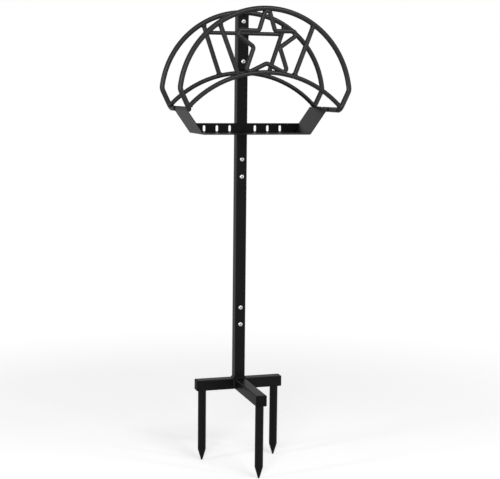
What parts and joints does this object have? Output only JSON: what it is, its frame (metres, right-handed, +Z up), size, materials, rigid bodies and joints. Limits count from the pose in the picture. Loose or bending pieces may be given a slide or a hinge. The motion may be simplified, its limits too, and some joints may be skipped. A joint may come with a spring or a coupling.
{
  "type": "garden hose stand",
  "caption": "Free-standing garden hose holder: bolted square post on a spiked base, with a cradle of bent-rod arches, a plain star and a slotted accessory tray.",
  "frame": {"origin": "on the post axis at the underside of the base bars, where the stand meets the soil", "axes": "+X to the right as seen from the front, +Y to the back, away from the cradle, +Z up along the post"},
  "size_m": [0.3924, 0.2173, 1.0492],
  "materials": {
    "powder_coat": "satin black powder coat",
    "cap_plastic": "fine-grained black plastic",
    "zinc_plate": "bright zinc plate",
    "bare_steel": "plain drawn tube"
  },
  "bodies": {
    "root": {"base_crossbar": "powder_coat", "base_front_arm": "powder_coat", "base_post_stub": "powder_coat", "spike_left": "powder_coat", "spike_right": "powder_coat", "spike_front": "powder_coat", "base_weld_beads": "powder_coat", "mid_post": "powder_coat", "top_post": "powder_coat", "mount_plate": "powder_coat", "rear_hoop": "powder_coat", "rear_saddle": "powder_coat", "rear_strut_left": "powder_coat", "rear_strut_right": "powder_coat", "rear_crossbar": "powder_coat", "front_hoop": "powder_coat", "front_saddle": "powder_coat", "front_strut_left": "powder_coat", "front_strut_right": "powder_coat", "star": "powder_coat", "accessory_tray": "powder_coat", "end_cap_left": "cap_plastic", "end_cap_right": "cap_plastic", "end_cap_front": "cap_plastic", "post_top_cap": "cap_plastic", "post_bolts": "zinc_plate", "cradle_bolts": "zinc_plate", "washers": "zinc_plate", "lock_nuts": "zinc_plate", "lower_sleeve": "bare_steel", "upper_sleeve": "bare_steel"}
  },
  "joints": []
}
